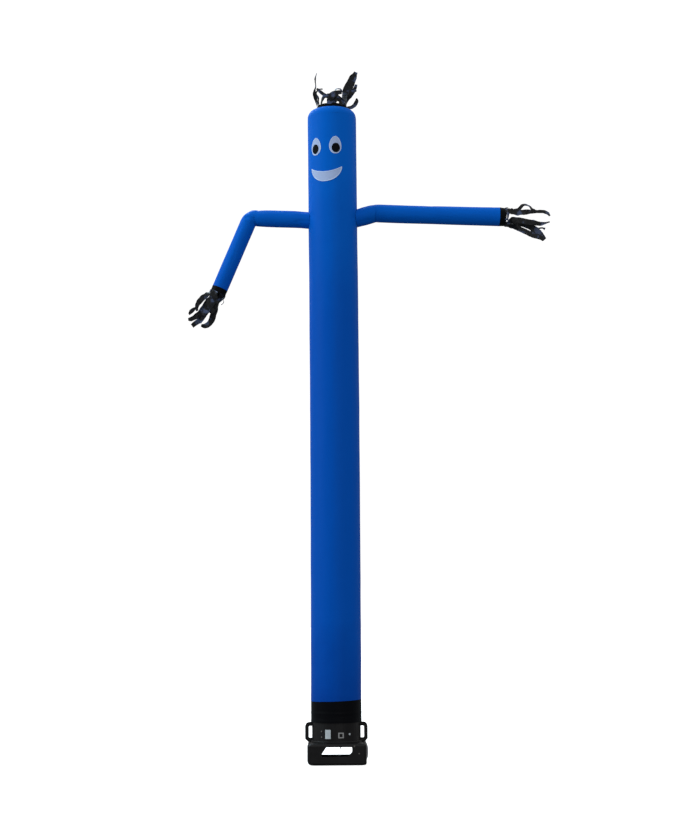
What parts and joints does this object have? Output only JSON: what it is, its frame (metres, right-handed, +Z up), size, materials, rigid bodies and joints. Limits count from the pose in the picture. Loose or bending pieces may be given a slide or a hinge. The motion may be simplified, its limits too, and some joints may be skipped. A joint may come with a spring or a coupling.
{
  "type": "inflatable air dancer on a blower",
  "caption": "Tall cloth tube with a smiling face, sewn-on arms and loose streamers, blown upright by the plain fan housing that it is fitted over.",
  "frame": {"origin": "on the surface it stands on, under the middle of the blower's collar", "axes": "+Z up along the tube, -Y to the front, where the face and the blower's panel are, +X towards the raised arm"},
  "size_m": [3.4027, 0.5043, 6.442],
  "materials": {
    "blue_cloth": "coated nylon, low sheen",
    "black_cloth": "coated nylon, low sheen",
    "streamer_cloth": "coated nylon, glossy where it folds",
    "white_patch": "sewn applique, matte",
    "black_patch": "sewn applique, matte",
    "black_plastic": "moulded, satin",
    "grey_plastic": "satin",
    "pale_plate": "blank label, satin",
    "guard_paint": "grey paint",
    "screw_steel": "dull"
  },
  "bodies": {
    "root": {"arm_left": "blue_cloth", "arm_right": "blue_cloth", "base_pan": "black_plastic", "base_screw_high": "screw_steel", "base_screw_low": "screw_steel", "blower_base": "black_plastic", "blower_collar": "black_plastic", "blower_sleeve": "black_cloth", "body_tube": "blue_cloth", "crown_panel": "blue_cloth", "cuff_left": "black_cloth", "cuff_right": "black_cloth", "eye_pupil_left": "black_patch", "eye_pupil_right": "black_patch", "eye_white_left": "white_patch", "eye_white_right": "white_patch", "hand_left_curl": "streamer_cloth", "hand_left_flag": "streamer_cloth", "hand_left_inner": "streamer_cloth", "hand_left_loop": "streamer_cloth", "hand_left_low": "streamer_cloth", "hand_left_main": "streamer_cloth", "hand_left_outer": "streamer_cloth", "hand_left_strand": "streamer_cloth", "hand_left_under": "streamer_cloth", "hand_right_flap": "streamer_cloth", "hand_right_fold": "streamer_cloth", "hand_right_loop": "streamer_cloth", "hand_right_lower": "streamer_cloth", "hand_right_middle": "streamer_cloth", "hand_right_tip": "streamer_cloth", "hand_right_upper": "streamer_cloth", "handle_left": "black_plastic", "handle_right": "black_plastic", "head_back": "streamer_cloth", "head_cross": "streamer_cloth", "head_droop_right": "streamer_cloth", "head_flag": "streamer_cloth", "head_front": "streamer_cloth", "head_left_low": "streamer_cloth", "head_loop": "streamer_cloth", "head_low": "streamer_cloth", "head_spur": "streamer_cloth", "head_spur_right": "streamer_cloth", "head_tall": "streamer_cloth", "head_upright": "streamer_cloth", "inlet_core": "black_plastic", "panel_lamp": "pale_plate", "panel_screw_high": "screw_steel", "panel_screw_low": "screw_steel", "power_inlet": "grey_plastic", "rating_plate": "pale_plate", "side_guard": "guard_paint", "smile": "white_patch", "vent_band": "black_cloth", "window_rib": "black_plastic"}
  },
  "joints": []
}
